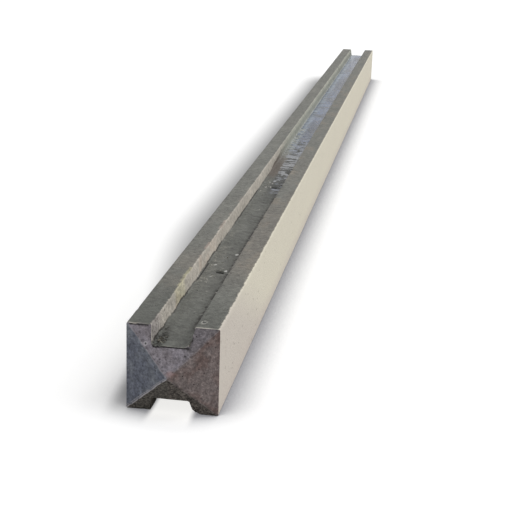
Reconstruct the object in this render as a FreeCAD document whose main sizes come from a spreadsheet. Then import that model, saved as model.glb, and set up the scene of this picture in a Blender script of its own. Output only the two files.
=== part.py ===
# Slotted concrete fence post, lying on one of its two slotted faces.
#
# The post is one casting: an H-shaped section with a panel slot down each of two opposite faces,
# a four-sided weathered point on the end that stands uppermost in the fence, and a plain square
# end that goes into the ground.
#
# Millimetres. +Z is up, the post lies along Y with its point towards -Y, and the origin is on
# the floor, under the middle of the post.

import FreeCAD, Part
import Sketcher
import os

DRIVING_SIZES = [
    ("post_length", 3050.0, "overall, tip of the point to the square end"),
    ("post_width", 109.0, "across the two plain sides"),
    ("post_height", 106.0, "across the two slotted faces"),
    ("slot_mouth", 50.0, "width of a slot at the face"),
    ("slot_floor", 44.0, "width of a slot at its floor"),
    ("slot_depth", 20.5, "depth of a slot below the face"),
    ("point_length", 31.0, "from the shoulder to the tip of the point"),
    ("arris_radius", 2.0, "rounding of the four outer long edges"),
    ("mouth_radius", 1.5, "rounding of the slot's edges at the face"),
    ("root_radius", 2.5, "rounding along the slot's floor"),
    ("cutter_margin", 20.0, "how far the cutting outlines stand clear of the casting"),
]

MATCH = 0.01  # how near two lengths lie to count as the same, in millimetres
VOLUME_MATCH = 1e-6  # how near two volumes lie to count as the same, as a share
CUBIC_MM_PER_CUBIC_CM = 1000.0

# Numbers that a sketch uses for its own axes, and for the ends of a line.
HORIZONTAL_AXIS = -1
VERTICAL_AXIS = -2
START = 1
END = 2


def make_sheet(doc):
    """The table of driving sizes: name, plain number and what it measures."""
    sheet = doc.addObject("Spreadsheet::Sheet", "Sizes")
    for row, (alias, value, meaning) in enumerate(DRIVING_SIZES, start=1):
        sheet.set("A%d" % row, alias)
        sheet.set("B%d" % row, "%g" % value)
        sheet.set("C%d" % row, meaning)
        sheet.setAlias("B%d" % row, alias)
    doc.recompute()
    return sheet


def new_sketch(body, name, role):
    """An empty sketch on one of the body's own origin planes."""
    plane = next(item for item in body.Origin.OriginFeatures if item.Role == role)
    sketch = body.newObject("Sketcher::SketchObject", name)
    sketch.AttachmentSupport = [(plane, "")]
    sketch.MapMode = "FlatFace"
    return sketch


def draw_outline(sketch, corners):
    """A closed outline of straight lines; line n runs from corner n to the next one."""
    for number, (across, up) in enumerate(corners):
        next_across, next_up = corners[(number + 1) % len(corners)]
        start = FreeCAD.Vector(across, up, 0)
        end = FreeCAD.Vector(next_across, next_up, 0)
        sketch.addGeometry(Part.LineSegment(start, end), False)
    for number in range(len(corners)):
        following = (number + 1) % len(corners)
        sketch.addConstraint(
            Sketcher.Constraint("Coincident", number, END, following, START))


def dimension(sketch, name, kind, first, second, value, expression):
    """A named dimension between the start points of two lines, bound to the table of sizes."""
    index = sketch.addConstraint(
        Sketcher.Constraint(kind, first, START, second, START, value))
    sketch.renameConstraint(index, name)
    sketch.setExpression("Constraints.%s" % name, expression)


def draw_section(body, sheet):
    """The H-shaped section, standing on the floor and centred on the post's middle plane."""
    half_width = sheet.post_width / 2
    half_mouth = sheet.slot_mouth / 2
    half_floor = sheet.slot_floor / 2
    height = sheet.post_height
    depth = sheet.slot_depth
    sketch = new_sketch(body, "SectionSketch", "XZ_Plane")
    draw_outline(sketch, [
        (-half_width, 0), (-half_mouth, 0), (-half_floor, depth),
        (half_floor, depth), (half_mouth, 0), (half_width, 0),
        (half_width, height), (half_mouth, height), (half_floor, height - depth),
        (-half_floor, height - depth), (-half_mouth, height), (-half_width, height),
    ])
    for left, right in ((0, 5), (1, 4), (2, 3), (11, 6), (10, 7), (9, 8)):
        sketch.addConstraint(
            Sketcher.Constraint("Symmetric", left, START, right, START, VERTICAL_AXIS))
    for line in (0, 10):
        sketch.addConstraint(Sketcher.Constraint("Horizontal", line))
    for lower, upper in ((0, 11), (1, 10), (2, 9)):
        sketch.addConstraint(Sketcher.Constraint("Vertical", lower, START, upper, START))
    sketch.addConstraint(Sketcher.Constraint("PointOnObject", 0, START, HORIZONTAL_AXIS))
    dimension(sketch, "Width", "DistanceX", 0, 5, 2 * half_width, "Sizes.post_width")
    dimension(sketch, "Height", "DistanceY", 0, 11, height, "Sizes.post_height")
    dimension(sketch, "Mouth", "DistanceX", 1, 4, 2 * half_mouth, "Sizes.slot_mouth")
    dimension(sketch, "Floor", "DistanceX", 2, 3, 2 * half_floor, "Sizes.slot_floor")
    dimension(sketch, "LowerDepth", "DistanceY", 1, 2, depth, "Sizes.slot_depth")
    dimension(sketch, "UpperDepth", "DistanceY", 9, 10, depth, "Sizes.slot_depth")
    return sketch


def round_long_edges(body, base, name, half_spread, radius_name):
    """Rounds the edges that run along the post at one distance from its middle plane."""
    edges = []
    for number, edge in enumerate(base.Shape.Edges, start=1):
        start, end = edge.firstVertex().Point, edge.lastVertex().Point
        along = abs(start.x - end.x) < MATCH and abs(start.z - end.z) < MATCH
        if along and abs(abs(start.x) - half_spread) < MATCH:
            edges.append("Edge%d" % number)
    fillet = body.newObject("PartDesign::Fillet", name)
    fillet.Base = (base, edges)
    fillet.setExpression("Radius", "Sizes.%s" % radius_name)
    body.Document.recompute()
    return fillet


def cut_point(body, sheet, name, role, half_size, half_name):
    """Cuts one opposite pair of the point's facets, straight through the post.

    The outline wraps round the end of the post: its notch is the point's own profile, and the
    rest of it stands clear of the casting. Seen from the side the tip is half the height above
    the floor, and seen from above it is on the post's middle plane.
    """
    seen_from_side = role == "YZ_Plane"
    middle = half_size if seen_from_side else 0.0
    tip = -sheet.post_length / 2
    shoulder = tip + sheet.point_length
    margin = sheet.cutter_margin
    profile = [
        (tip, middle),
        (shoulder, middle + half_size),
        (shoulder, middle + half_size + margin),
        (tip - margin, middle + half_size + margin),
        (tip - margin, middle - half_size - margin),
        (shoulder, middle - half_size - margin),
        (shoulder, middle - half_size),
    ]
    along, across = "DistanceX", "DistanceY"
    level, upright = "Horizontal", "Vertical"
    if not seen_from_side:
        profile = [(side, run) for run, side in profile]
        along, across = across, along
        level, upright = upright, level
    sketch = new_sketch(body, name + "Sketch", role)
    draw_outline(sketch, profile)
    for line in (1, 3, 5):
        sketch.addConstraint(Sketcher.Constraint(upright, line))
    for line in (2, 4):
        sketch.addConstraint(Sketcher.Constraint(level, line))
    origin = HORIZONTAL_AXIS
    dimension(sketch, "TipPlace", along, 0, origin, -tip, "Sizes.post_length / 2")
    if seen_from_side:
        dimension(sketch, "TipLift", across, origin, 0, middle, half_name)
    else:
        sketch.addConstraint(Sketcher.Constraint("PointOnObject", 0, START, VERTICAL_AXIS))
    dimension(sketch, "FarRun", along, 0, 1, sheet.point_length, "Sizes.point_length")
    dimension(sketch, "FarRise", across, 0, 1, half_size, half_name)
    dimension(sketch, "NearRun", along, 0, 6, sheet.point_length, "Sizes.point_length")
    dimension(sketch, "NearRise", across, 6, 0, half_size, half_name)
    dimension(sketch, "FarMargin", across, 1, 2, margin, "Sizes.cutter_margin")
    dimension(sketch, "EndMargin", along, 3, 0, margin, "Sizes.cutter_margin")
    dimension(sketch, "NearMargin", across, 5, 6, margin, "Sizes.cutter_margin")
    pocket = body.newObject("PartDesign::Pocket", name)
    pocket.Profile = sketch
    pocket.Type = "ThroughAll"
    pocket.Midplane = True
    body.Document.recompute()
    return pocket


def check_document(doc):
    """Stops the build when any feature or sketch failed."""
    for item in doc.Objects:
        failed = {"Invalid", "Error"} & set(item.State)
        if failed:
            raise RuntimeError("%s failed: %s" % (item.Name, sorted(failed)))
        if item.TypeId != "Sketcher::SketchObject":
            continue
        if item.solve() != 0 or not item.FullyConstrained:
            raise RuntimeError("%s is not fully constrained" % item.Name)


def expected_volume(sheet):
    """Volume of the sharp-edged post, worked out from the driving sizes."""
    slot = (sheet.slot_mouth + sheet.slot_floor) / 2 * sheet.slot_depth
    section = sheet.post_width * sheet.post_height - 2 * slot
    return section * sheet.post_length


def build_post(doc, sheet):
    """The whole casting, as one body."""
    body = doc.addObject("PartDesign::Body", "ConcretePost")
    body.Label = "concrete_post"
    section = draw_section(body, sheet)
    pad = body.newObject("PartDesign::Pad", "Casting")
    pad.Profile = section
    pad.Midplane = True
    pad.setExpression("Length", "Sizes.post_length")
    doc.recompute()
    if abs(pad.Shape.Volume / expected_volume(sheet) - 1) > VOLUME_MATCH:
        raise RuntimeError("the section does not have its size")
    arrises = round_long_edges(body, pad, "OuterArrises", sheet.post_width / 2, "arris_radius")
    mouths = round_long_edges(body, arrises, "SlotMouths", sheet.slot_mouth / 2, "mouth_radius")
    roots = round_long_edges(body, mouths, "SlotRoots", sheet.slot_floor / 2, "root_radius")
    slotted = cut_point(body, sheet, "SlottedFacets", "YZ_Plane",
                        sheet.post_height / 2, "Sizes.post_height / 2")
    if not slotted.Shape.Volume < roots.Shape.Volume:
        raise RuntimeError("the facets below the slotted faces were not cut")
    plain = cut_point(body, sheet, "PlainFacets", "XY_Plane",
                      sheet.post_width / 2, "Sizes.post_width / 2")
    if not plain.Shape.Volume < slotted.Shape.Volume:
        raise RuntimeError("the facets below the plain sides were not cut")
    body.Placement = FreeCAD.Placement()
    return body


doc = FreeCAD.newDocument("FencePost")
sheet = make_sheet(doc)
post = build_post(doc, sheet)
doc.recompute()
check_document(doc)
bodies = [item for item in doc.Objects if item.TypeId == "PartDesign::Body"]
for body in bodies:
    if body.Shape.isNull() or not body.Shape.isValid() or len(body.Shape.Solids) != 1:
        raise RuntimeError("%s is not one valid solid" % body.Label)
os.makedirs("parts", exist_ok=True)
for body in bodies:
    body.Shape.exportStep("parts/%s.step" % body.Label)
    box = body.Shape.BoundBox
    print("%s: %.1f x %.1f x %.1f mm, %.0f cm3" % (
        body.Label, box.XLength, box.YLength, box.ZLength, body.Shape.Volume / CUBIC_MM_PER_CUBIC_CM))
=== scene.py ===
# Slotted concrete fence post, lying on the floor with one of its two panel slots upwards.
# Metres. The post lies along Y with its pointed top towards -Y, and the floor is at Z = 0.

import math

import bpy
import numpy as np
from mathutils import Matrix, Vector
from mathutils.geometry import delaunay_2d_cdt


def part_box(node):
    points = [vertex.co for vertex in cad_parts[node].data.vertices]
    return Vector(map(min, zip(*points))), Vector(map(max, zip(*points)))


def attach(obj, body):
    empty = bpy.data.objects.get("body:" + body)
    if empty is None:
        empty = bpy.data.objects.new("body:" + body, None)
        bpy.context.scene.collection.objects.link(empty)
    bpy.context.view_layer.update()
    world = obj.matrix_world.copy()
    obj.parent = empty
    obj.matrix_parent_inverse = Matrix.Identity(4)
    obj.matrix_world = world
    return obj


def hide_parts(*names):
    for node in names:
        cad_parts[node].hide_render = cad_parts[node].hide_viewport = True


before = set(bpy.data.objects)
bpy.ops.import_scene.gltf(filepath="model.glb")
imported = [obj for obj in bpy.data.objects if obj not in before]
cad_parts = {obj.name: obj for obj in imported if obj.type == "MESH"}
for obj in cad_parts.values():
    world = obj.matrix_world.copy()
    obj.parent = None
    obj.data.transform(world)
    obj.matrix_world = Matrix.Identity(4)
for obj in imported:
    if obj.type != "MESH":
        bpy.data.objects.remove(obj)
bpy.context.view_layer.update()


# ---- The casting -----------------------------------------------------------------------
# The post is one piece of concrete, vibrated into a steel mould that makes its cream sides,
# its slots and its pointed top. Here its skin is laid out ring by ring, from the point back
# to the foot, with the rings closest together near the point.

post_low, post_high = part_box("concrete_post")
half_width = (post_high.x - post_low.x) / 2
height = post_high.z - post_low.z
half_height = height / 2
tip_y = post_low.y
foot_y = post_high.y
point_length = 0.031
slot_mouth = 0.050
slot_floor = 0.044
slot_depth = 0.0205
floor_z = height - slot_depth

arris_round = 0.0020
mouth_round = 0.0015
root_round = 0.0025
foot_round = 0.0012
steps_round_corner = 3
fine_gap = 0.0024
side_gap = 0.0052
hidden_gap = 0.0082
first_step = 0.0016
step_growth = 0.0042
longest_step_near = 0.0042
far_start = 1.15
cap_gap = 0.0013
foot_gap = 0.0060

# The section's twelve corners, anticlockwise from the lower left one as seen from the point:
# place, rounding, whether it is an arris that stands out or a root that is tucked in, and
# then the face that follows it and how far apart that face's points lie.
corners = [
    (-half_width, 0.0, arris_round, "arris", "bed_left", hidden_gap),
    (-slot_mouth / 2, 0.0, mouth_round, "arris", "under_left_wall", hidden_gap),
    (-slot_floor / 2, slot_depth, root_round, "root", "under_floor", hidden_gap),
    (slot_floor / 2, slot_depth, root_round, "root", "under_right_wall", hidden_gap),
    (slot_mouth / 2, 0.0, mouth_round, "arris", "bed_right", hidden_gap),
    (half_width, 0.0, arris_round, "arris", "right_side", side_gap),
    (half_width, height, arris_round, "arris", "right_flange", fine_gap),
    (slot_mouth / 2, height, mouth_round, "arris", "right_wall", side_gap),
    (slot_floor / 2, floor_z, root_round, "root", "slot_floor", fine_gap),
    (-slot_floor / 2, floor_z, root_round, "root", "left_wall", fine_gap),
    (-slot_mouth / 2, height, mouth_round, "arris", "left_flange", fine_gap),
    (-half_width, height, arris_round, "arris", "left_side", side_gap),
]
faces_round = [corner[4] for corner in corners]


def round_corner(before, corner, after, radius):
    """Points of the arc that rounds one corner of the section."""
    towards_before = (before - corner) / np.linalg.norm(before - corner)
    towards_after = (after - corner) / np.linalg.norm(after - corner)
    half_angle = math.acos(np.dot(towards_before, towards_after)) / 2
    middle = towards_before + towards_after
    centre = corner + middle / np.linalg.norm(middle) * radius / math.sin(half_angle)
    start = corner + towards_before * radius / math.tan(half_angle) - centre
    end = corner + towards_after * radius / math.tan(half_angle) - centre
    turn = math.pi - 2 * half_angle
    points = []
    for step in range(steps_round_corner + 1):
        share = step / steps_round_corner
        near = math.sin((1 - share) * turn) / math.sin(turn)
        far = math.sin(share * turn) / math.sin(turn)
        points.append(centre + near * start + far * end)
    return points


def spaced(start, end, gap):
    """Points between two places, evenly spaced by about a gap, without the two."""
    parts = math.ceil(np.linalg.norm(end - start) / gap)
    return [start + (end - start) * part / parts for part in range(1, parts)]


def lay_section():
    """The rounded outline, and which of its points is the middle of each corner."""
    places = [np.array(corner[:2]) for corner in corners]
    points, middles = [], []
    for number, corner in enumerate(corners):
        before, after = places[number - 1], places[(number + 1) % len(places)]
        arc = round_corner(before, places[number], after, corner[2])
        if points:
            points += spaced(points[-1], arc[0], corners[number - 1][5])
        middles.append(len(points) + steps_round_corner / 2)
        points += arc
    points += spaced(points[-1], points[0], corners[-1][5])
    return np.array(points), middles


section, corner_places = lay_section()
section_count = len(section)
run_lengths = np.linalg.norm(np.roll(section, -1, axis=0) - section, axis=1)
girth = np.concatenate([[0.0], np.cumsum(run_lengths)])
whole_girth = girth[-1]
corner_girth = [float(np.interp(place, range(section_count + 1), girth))
                for place in corner_places]


def distance_round(kind):
    """How far each point of the section is from the nearest corner of one kind."""
    found = [g for g, corner in zip(corner_girth, corners) if corner[3] == kind]
    apart = np.abs(girth[:-1, None] - np.array(found)[None, :])
    return np.minimum(apart, whole_girth - apart).min(axis=1)


def point_face(x, z):
    """How far along Y the point's surface is at one place of the section, ridges eased."""
    across = np.abs(x) / half_width
    upwards = np.abs(z - half_height) / half_height
    ease = 0.03
    blend = np.maximum(ease - np.abs(across - upwards), 0) / ease
    return tip_y + point_length * (np.maximum(across, upwards) + blend ** 2 * ease / 4)


# Dents that something left in the wet slot floor: across, along from the tip, half widths
# across and along, and depth.
dents = [
    (0.0010, 0.3092, 0.0052, 0.0058, 0.0048),
    (0.0012, 0.8366, 0.0052, 0.0058, 0.0030),
    (-0.0015, 1.3720, 0.0062, 0.0090, 0.0030),
]
dent_rings = 3


def stations():
    """Shares of the post's length at which the rings lie, from the point to the foot."""
    places = [0.0, first_step / 2]
    while places[-1] < foot_y - tip_y - point_length:
        near_step = min(first_step + step_growth * places[-1], longest_step_near)
        far_step = step_growth * max(places[-1] - far_start, 0.0)
        places.append(places[-1] + near_step + far_step)
    whole = places[-1]
    shoulder = point_face(0.0, floor_z) - tip_y
    for _, along, _, half_along, _ in dents:
        for ring in range(-dent_rings, dent_rings + 1):
            share = (along + half_along * ring / 2 - shoulder) / (foot_y - tip_y - shoulder)
            places.append(share * whole)
    return np.sort(np.array(places)) / whole


def inset_section(amount):
    """The section's outline moved inwards."""
    along = np.roll(section, -1, axis=0) - np.roll(section, 1, axis=0)
    inwards = np.stack([-along[:, 1], along[:, 0]], axis=1)
    inwards /= np.linalg.norm(inwards, axis=1, keepdims=True)
    return section + inwards * amount


def inside_section(x, z, margin):
    """Whether a place is in the concrete, at least a margin from the outline."""
    if abs(x) > half_width - margin or not margin < z < height - margin:
        return False
    depth = min(z, height - z)
    wall = slot_mouth / 2 - (slot_mouth - slot_floor) / 2 * min(depth / slot_depth, 1.0)
    return depth > slot_depth + margin or abs(x) > wall + margin


def fill_outline(outline, inner):
    """Triangles that fill an outline through inner points, as rows of point numbers."""
    flat = [Vector(place) for place in outline] + [Vector(place) for place in inner]
    loop = [list(range(len(outline)))]
    made = delaunay_2d_cdt(flat, [], loop, 1, 1e-6)
    sources = [ids[0] for ids in made[3]]
    return [[sources[corner] for corner in triangle] for triangle in made[2]]


def grid_inside(gap, margin):
    """Evenly spaced places in the section, every other row shifted by half a gap."""
    found = []
    for row in range(1, int(height / gap)):
        shift = gap / 2 * (row % 2)
        for column in range(-int(half_width / gap), int(half_width / gap) + 1):
            place = (column * gap + shift, row * height / int(height / gap))
            if inside_section(place[0], place[1], margin):
                found.append(place)
    return found


def ridge_places():
    """Places along the point's four ridges, from the tip to the corners of the section."""
    found = [(0.0, half_height)]
    count = int(half_width / cap_gap)
    for step in range(1, count):
        share = step / count
        for side in (-1, 1):
            for rise in (-1, 1):
                place = (side * share * half_width, half_height * (1 + rise * share))
                if inside_section(place[0], place[1], cap_gap / 2):
                    found.append(place)
    return found


def near_ridge(place):
    """Whether a place is too close to a ridge for a grid point."""
    across = abs(place[0]) / half_width
    upwards = abs(place[1] - half_height) / half_height
    return abs(across - upwards) * half_width < cap_gap


# The casting's vertices: rings, then the inside of the point, then the inside of the foot.
shares = stations()
starts = point_face(section[:, 0], section[:, 1])
runs = foot_y - starts
ring_y = starts[None, :] + shares[:, None] * runs[None, :]
rings = np.empty((len(shares), section_count, 3))
rings[:, :, 0] = section[None, :, 0]
rings[:, :, 1] = ring_y
rings[:, :, 2] = section[None, :, 1]
rounded_foot = inset_section(foot_round)
rings[-1, :, 0] = rounded_foot[:, 0]
rings[-1, :, 2] = rounded_foot[:, 1]
rings[-2, :, 1] = foot_y - foot_round

edge_inset = 0.0007
point_rim = [tuple(place) for place in inset_section(edge_inset)]
point_inner = point_rim + ridge_places()
point_inner += [place for place in grid_inside(cap_gap, cap_gap * 1.1) if not near_ridge(place)]
foot_inner = grid_inside(foot_gap, foot_gap / 2)

point_flat = np.array(point_inner)
point_y = point_face(point_flat[:, 0], point_flat[:, 1])
point_places = np.stack([point_flat[:, 0], point_y, point_flat[:, 1]], axis=1)
foot_flat = np.array(foot_inner)
foot_places = np.stack([foot_flat[:, 0], np.full(len(foot_flat), foot_y), foot_flat[:, 1]],
                       axis=1)
vertices = np.concatenate([rings.reshape(-1, 3), point_places, foot_places])

point_start = rings.shape[0] * section_count
foot_start = point_start + len(point_places)
last_ring = point_start - section_count


def joined(triangles, ring_first, inner_first, flip):
    """Fill triangles with their numbers changed to the casting's own."""
    def number(corner):
        if corner < section_count:
            return ring_first + corner
        return inner_first + corner - section_count
    order = -1 if flip else 1
    return [[number(corner) for corner in triangle][::order] for triangle in triangles]


polygons, face_kinds, loop_girth = [], [], []
for station in range(len(shares) - 1):
    for place in range(section_count):
        following = (place + 1) % section_count
        near, far = station * section_count, (station + 1) * section_count
        polygons.append([near + place, far + place, far + following, near + following])
        loop_girth += [girth[place], girth[place], girth[place + 1], girth[place + 1]]
        face_kinds.append(0)

# The skin, the point and the foot are told apart by a number on each face.
point_triangles = joined(fill_outline(section, point_inner), 0, point_start, False)
foot_triangles = joined(fill_outline(rounded_foot, foot_inner), last_ring, foot_start, True)
face_kinds += [1] * len(point_triangles) + [2] * len(foot_triangles)
loop_girth += [0.0, 0.0, 0.0] * (len(point_triangles) + len(foot_triangles))
polygons += point_triangles + foot_triangles

casting_mesh = bpy.data.meshes.new("post_casting")
casting_mesh.from_pydata([tuple(v) for v in vertices], [], polygons)
girth_map = casting_mesh.uv_layers.new(name="Girth")
loop_vertices = np.empty(len(casting_mesh.loops), int)
casting_mesh.loops.foreach_get("vertex_index", loop_vertices)
girth_map.data.foreach_set(
    "uv", np.stack([np.array(loop_girth), vertices[loop_vertices, 1]], axis=1).ravel())


def store(mesh, name, domain, values, kind="FLOAT"):
    """Keeps one number for each vertex or face on the mesh, under a name."""
    attribute = mesh.attributes.new(name, kind, domain)
    attribute.data.foreach_set("value", np.asarray(values))


def closeness(distance, reach):
    """1 at a line, falling to 0 at a distance of about twice the reach."""
    return np.exp(-(distance / reach) ** 2)


# How close each vertex is to an arris, where the edges chip, on a scale from 0 to 1.
arris_reach = 0.0022
section_arris = distance_round("arris")
ring_arris = np.minimum(section_arris[None, :], (ring_y - starts[None, :]))
across = np.abs(point_flat[:, 0]) / half_width
upwards = np.abs(point_flat[:, 1] - half_height) / half_height
ridge_distance = np.abs(across - upwards) * half_width / 2
rim_distance = np.min(np.linalg.norm(point_flat[:, None] - section[None], axis=2), axis=1)
point_arris = np.minimum(ridge_distance, rim_distance)
arris = np.concatenate([ring_arris.ravel(), point_arris, np.full(len(foot_flat), 1.0)])
store(casting_mesh, "arris", "POINT", closeness(arris, arris_reach))


def on_faces(names):
    """1 on the section's points that lie on the named faces, and 0 elsewhere."""
    found = np.zeros(section_count)
    for name in names:
        first = faces_round.index(name)
        low = corner_girth[first]
        high = corner_girth[(first + 1) % len(corners)]
        found[(girth[:-1] > low) & (girth[:-1] < high)] = 1.0
    return found


def along_rings(values):
    """Values for the section's points, repeated on every ring and 0 on both ends."""
    rest = np.zeros(len(point_flat) + len(foot_flat))
    return np.concatenate([np.tile(values, len(shares)), rest])


open_faces = ["right_flange", "slot_floor", "left_flange"]
store(casting_mesh, "slot_floor", "POINT", along_rings(on_faces(["slot_floor"])))
store(casting_mesh, "open_face", "POINT", along_rings(on_faces(open_faces)))
on_point = np.concatenate([np.zeros(point_start), np.ones(len(point_flat)),
                           np.zeros(len(foot_flat))])
store(casting_mesh, "point", "POINT", on_point)
store(casting_mesh, "face_kind", "FACE", face_kinds, "INT")
casting_mesh.validate()
casting = bpy.data.objects.new("post_casting", casting_mesh)
bpy.context.collection.objects.link(casting)


# The casting's colours. Cream cement covers the faces that the mould made. The faces that
# were trowelled and left open are a damp grey-green, and their thin skin laps a little way
# round some edges. The pointed top is a gritty mix whose four facets differ partly by
# weathering and partly by painted shade.

def paint(red, green, blue):
    """A linear colour from the 0 to 255 values of a colour chart."""
    def linear(value):
        share = value / 255
        return share / 12.92 if share <= 0.04045 else ((share + 0.055) / 1.055) ** 2.4
    return (linear(red), linear(green), linear(blue), 1.0)


def node(tree, kind, inputs=None, **settings):
    """Adds one node, with its settings, fixed values and links."""
    made = tree.nodes.new(kind)
    for name, value in settings.items():
        setattr(made, name, value)
    for socket, value in (inputs or {}).items():
        if isinstance(value, bpy.types.NodeSocket):
            tree.links.new(value, made.inputs[socket])
        else:
            made.inputs[socket].default_value = value
    return made


def maths(tree, operation, first, second=0.0, third=0.0):
    """One sum on fields or fixed numbers."""
    made = node(tree, "ShaderNodeMath", {0: first, 1: second, 2: third}, operation=operation)
    return made.outputs[0]


def product(tree, *parts):
    """Several fields or numbers multiplied together."""
    whole = parts[0]
    for part in parts[1:]:
        whole = maths(tree, "MULTIPLY", whole, part)
    return whole


def between(tree, value, low, high, out_low=0.0, out_high=1.0):
    """A value stretched smoothly from one range to another, and held at its ends."""
    made = node(tree, "ShaderNodeMapRange",
                {"Value": value, "From Min": low, "From Max": high,
                 "To Min": out_low, "To Max": out_high}, interpolation_type="SMOOTHSTEP")
    return made.outputs["Result"]


def stretch(tree, value, start, full, fading, end):
    """1 on one stretch of a value's range, coming in and going out softly."""
    return product(tree, between(tree, value, start, full), between(tree, value, end, fading))


def strip(tree, value, centre, outer, inner):
    """1 on a strip about a centre, going out softly between two half widths."""
    away = maths(tree, "ABSOLUTE", maths(tree, "SUBTRACT", value, centre))
    return between(tree, away, outer, inner)


def vector_sum(tree, operation, first, second):
    """One sum on two vectors."""
    made = node(tree, "ShaderNodeVectorMath", {0: first, 1: second}, operation=operation)
    return made.outputs["Value" if operation in ("LENGTH", "DOT_PRODUCT") else "Vector"]


# The noises are laid from the tip, so that they stay in place on a post of another length.
noise_start = -1.3725
noise_place = (0.0, noise_start - tip_y, 0.0)


def cloud(tree, place, size, detail=2.0, roughness=0.55, squeeze=None):
    """Noise from 0 to 1 whose lumps are about one size, in metres."""
    place = vector_sum(tree, "ADD", place, noise_place)
    if squeeze:
        place = vector_sum(tree, "MULTIPLY", place, squeeze)
    made = node(tree, "ShaderNodeTexNoise",
                {"Vector": place, "Scale": 1 / size, "Detail": detail, "Roughness": roughness})
    return made.outputs[0]


def lumps(tree, place, size, start, full, detail=3.0, roughness=0.7, squeeze=None):
    """1 in the lumps of a noise and 0 between them."""
    return between(tree, cloud(tree, place, size, detail, roughness, squeeze), start, full)


def mixed(tree, factor, first, second):
    """One colour laid over another."""
    made = node(tree, "ShaderNodeMix", {0: factor, 6: first, 7: second}, data_type="RGBA")
    return made.outputs[2]


def laid(tree, colour, over, *masks):
    """A colour with another laid over it, as much as the masks and amounts allow."""
    return mixed(tree, product(tree, *masks), colour, over)


def scaled(tree, colour, factor):
    """A colour made lighter or darker by a factor."""
    value = colour if isinstance(colour, bpy.types.NodeSocket) else colour[:3]
    made = node(tree, "ShaderNodeVectorMath", {0: value, "Scale": factor}, operation="SCALE")
    return made.outputs[0]


def shaded(tree, colour, field, amount):
    """A colour made lighter and darker by a noise field, by an amount each way."""
    strength = maths(tree, "MULTIPLY_ADD", field, 2 * amount, 1 - amount)
    return scaled(tree, colour, strength)


def spot_mask(tree, place, centre, reach, soft=0.4):
    """1 inside an egg of one size at one place, fading to 0 at its edge."""
    away = vector_sum(tree, "SUBTRACT", place, centre)
    away = vector_sum(tree, "DIVIDE", away, reach)
    return between(tree, vector_sum(tree, "LENGTH", away, (0, 0, 0)), 1.0, 1.0 - soft)


def dent_mask(tree, spot, across, along, half_across, half_along, soft=0.15):
    """1 inside a flat block of one size on the slot floor, fading to 0 at its edge."""
    sideways = maths(tree, "ABSOLUTE", maths(tree, "SUBTRACT", spot["X"], across))
    sideways = maths(tree, "DIVIDE", sideways, half_across)
    lengthways = maths(tree, "ABSOLUTE", maths(tree, "SUBTRACT", spot["Y"], tip_y + along))
    lengthways = maths(tree, "DIVIDE", lengthways, half_along)
    return between(tree, maths(tree, "MAXIMUM", sideways, lengthways), 1.0 + soft, 1.0 - soft)


dull = 0.30


def finish_dull(tree, shader, colour, roughness):
    """Gives a shader its colour and a dull surface."""
    tree.links.new(colour, shader.inputs["Base Color"])
    shader.inputs["Roughness"].default_value = roughness
    shader.inputs["Specular IOR Level"].default_value = dull


def new_material(name):
    """An empty material: its tree, its shader and its Object coordinates."""
    made = bpy.data.materials.new(name)
    made.use_nodes = True
    tree = made.node_tree
    shader = tree.nodes["Principled BSDF"]
    place = node(tree, "ShaderNodeTexCoord").outputs["Object"]
    return made, tree, shader, place


def pinholes(tree, place, size, share, radius=0.16):
    """Small ragged pits at random: 1 in a pit and 0 outside. share is how many show."""
    place = vector_sum(tree, "ADD", place, noise_place)
    wander = node(tree, "ShaderNodeTexNoise", {"Vector": place, "Scale": 2.6 / size})
    wander = scaled(tree, vector_sum(tree, "SUBTRACT", wander.outputs["Color"],
                                     (0.5, 0.5, 0.5)), size * 0.35)
    cells = node(tree, "ShaderNodeTexVoronoi",
                 {"Vector": vector_sum(tree, "ADD", place, wander), "Scale": 1 / size})
    hollow = between(tree, cells.outputs["Distance"], radius * 1.4, radius * 0.6)
    chosen = node(tree, "ShaderNodeSeparateColor", {"Color": cells.outputs["Color"]})
    picked = maths(tree, "LESS_THAN", chosen.outputs[0], share)
    return maths(tree, "MULTIPLY", hollow, picked)


def bumped(tree, shader, field, depth):
    """Sets fine relief on a shader from a field of heights."""
    made = node(tree, "ShaderNodeBump", {"Strength": 1.0, "Distance": depth, "Height": field})
    tree.links.new(made.outputs[0], shader.inputs["Normal"])


cream = paint(217, 211, 194)
bed_grey = paint(160, 155, 142)
under_grey = paint(112, 107, 98)
flange_grey = paint(110, 110, 104)
floor_grey = paint(105, 106, 101)
wall_beige = paint(184, 178, 168)
dirt_black = paint(34, 32, 29)
face_colours = {
    "bed_left": bed_grey, "under_left_wall": under_grey, "under_floor": under_grey,
    "under_right_wall": under_grey, "bed_right": bed_grey, "right_side": cream,
    "right_flange": flange_grey, "right_wall": wall_beige, "slot_floor": floor_grey,
    "left_wall": wall_beige, "left_flange": flange_grey, "left_side": cream,
}

# How far the colour that ends at a corner laps past it, onto the next face.
# On the left side the lap is painted shade: the flange grey runs 3 mm over the arris, which turns away
# from the lamp, so that it reads dark.
laps = {"right_flange": 0.0020, "right_wall": 0.0030, "slot_floor": 0.0010, "left_wall": 0.0012,
        "left_flange": 0.0004, "left_side": 0.0030}
lap_ends = [place + laps.get(name, 0.0) for place, name in zip(corner_girth, faces_round)]
lap_ends.append(whole_girth)


def around(tree, share, values):
    """A colour for each of the section's twelve faces, changing sharply at the corners."""
    ramp = node(tree, "ShaderNodeValToRGB", {0: share})
    stops = ramp.color_ramp.elements
    sharp = 0.0003
    stops[0].position = 0.0
    stops[0].color = values[-1]
    stops[1].position = 1.0
    stops[1].color = values[-1]
    for number, value in enumerate(values):
        for girth_at in (lap_ends[number] + sharp, lap_ends[number + 1] - sharp):
            stop = stops.new(girth_at / whole_girth)
            stop.color = value
    return ramp.outputs["Color"]


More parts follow.
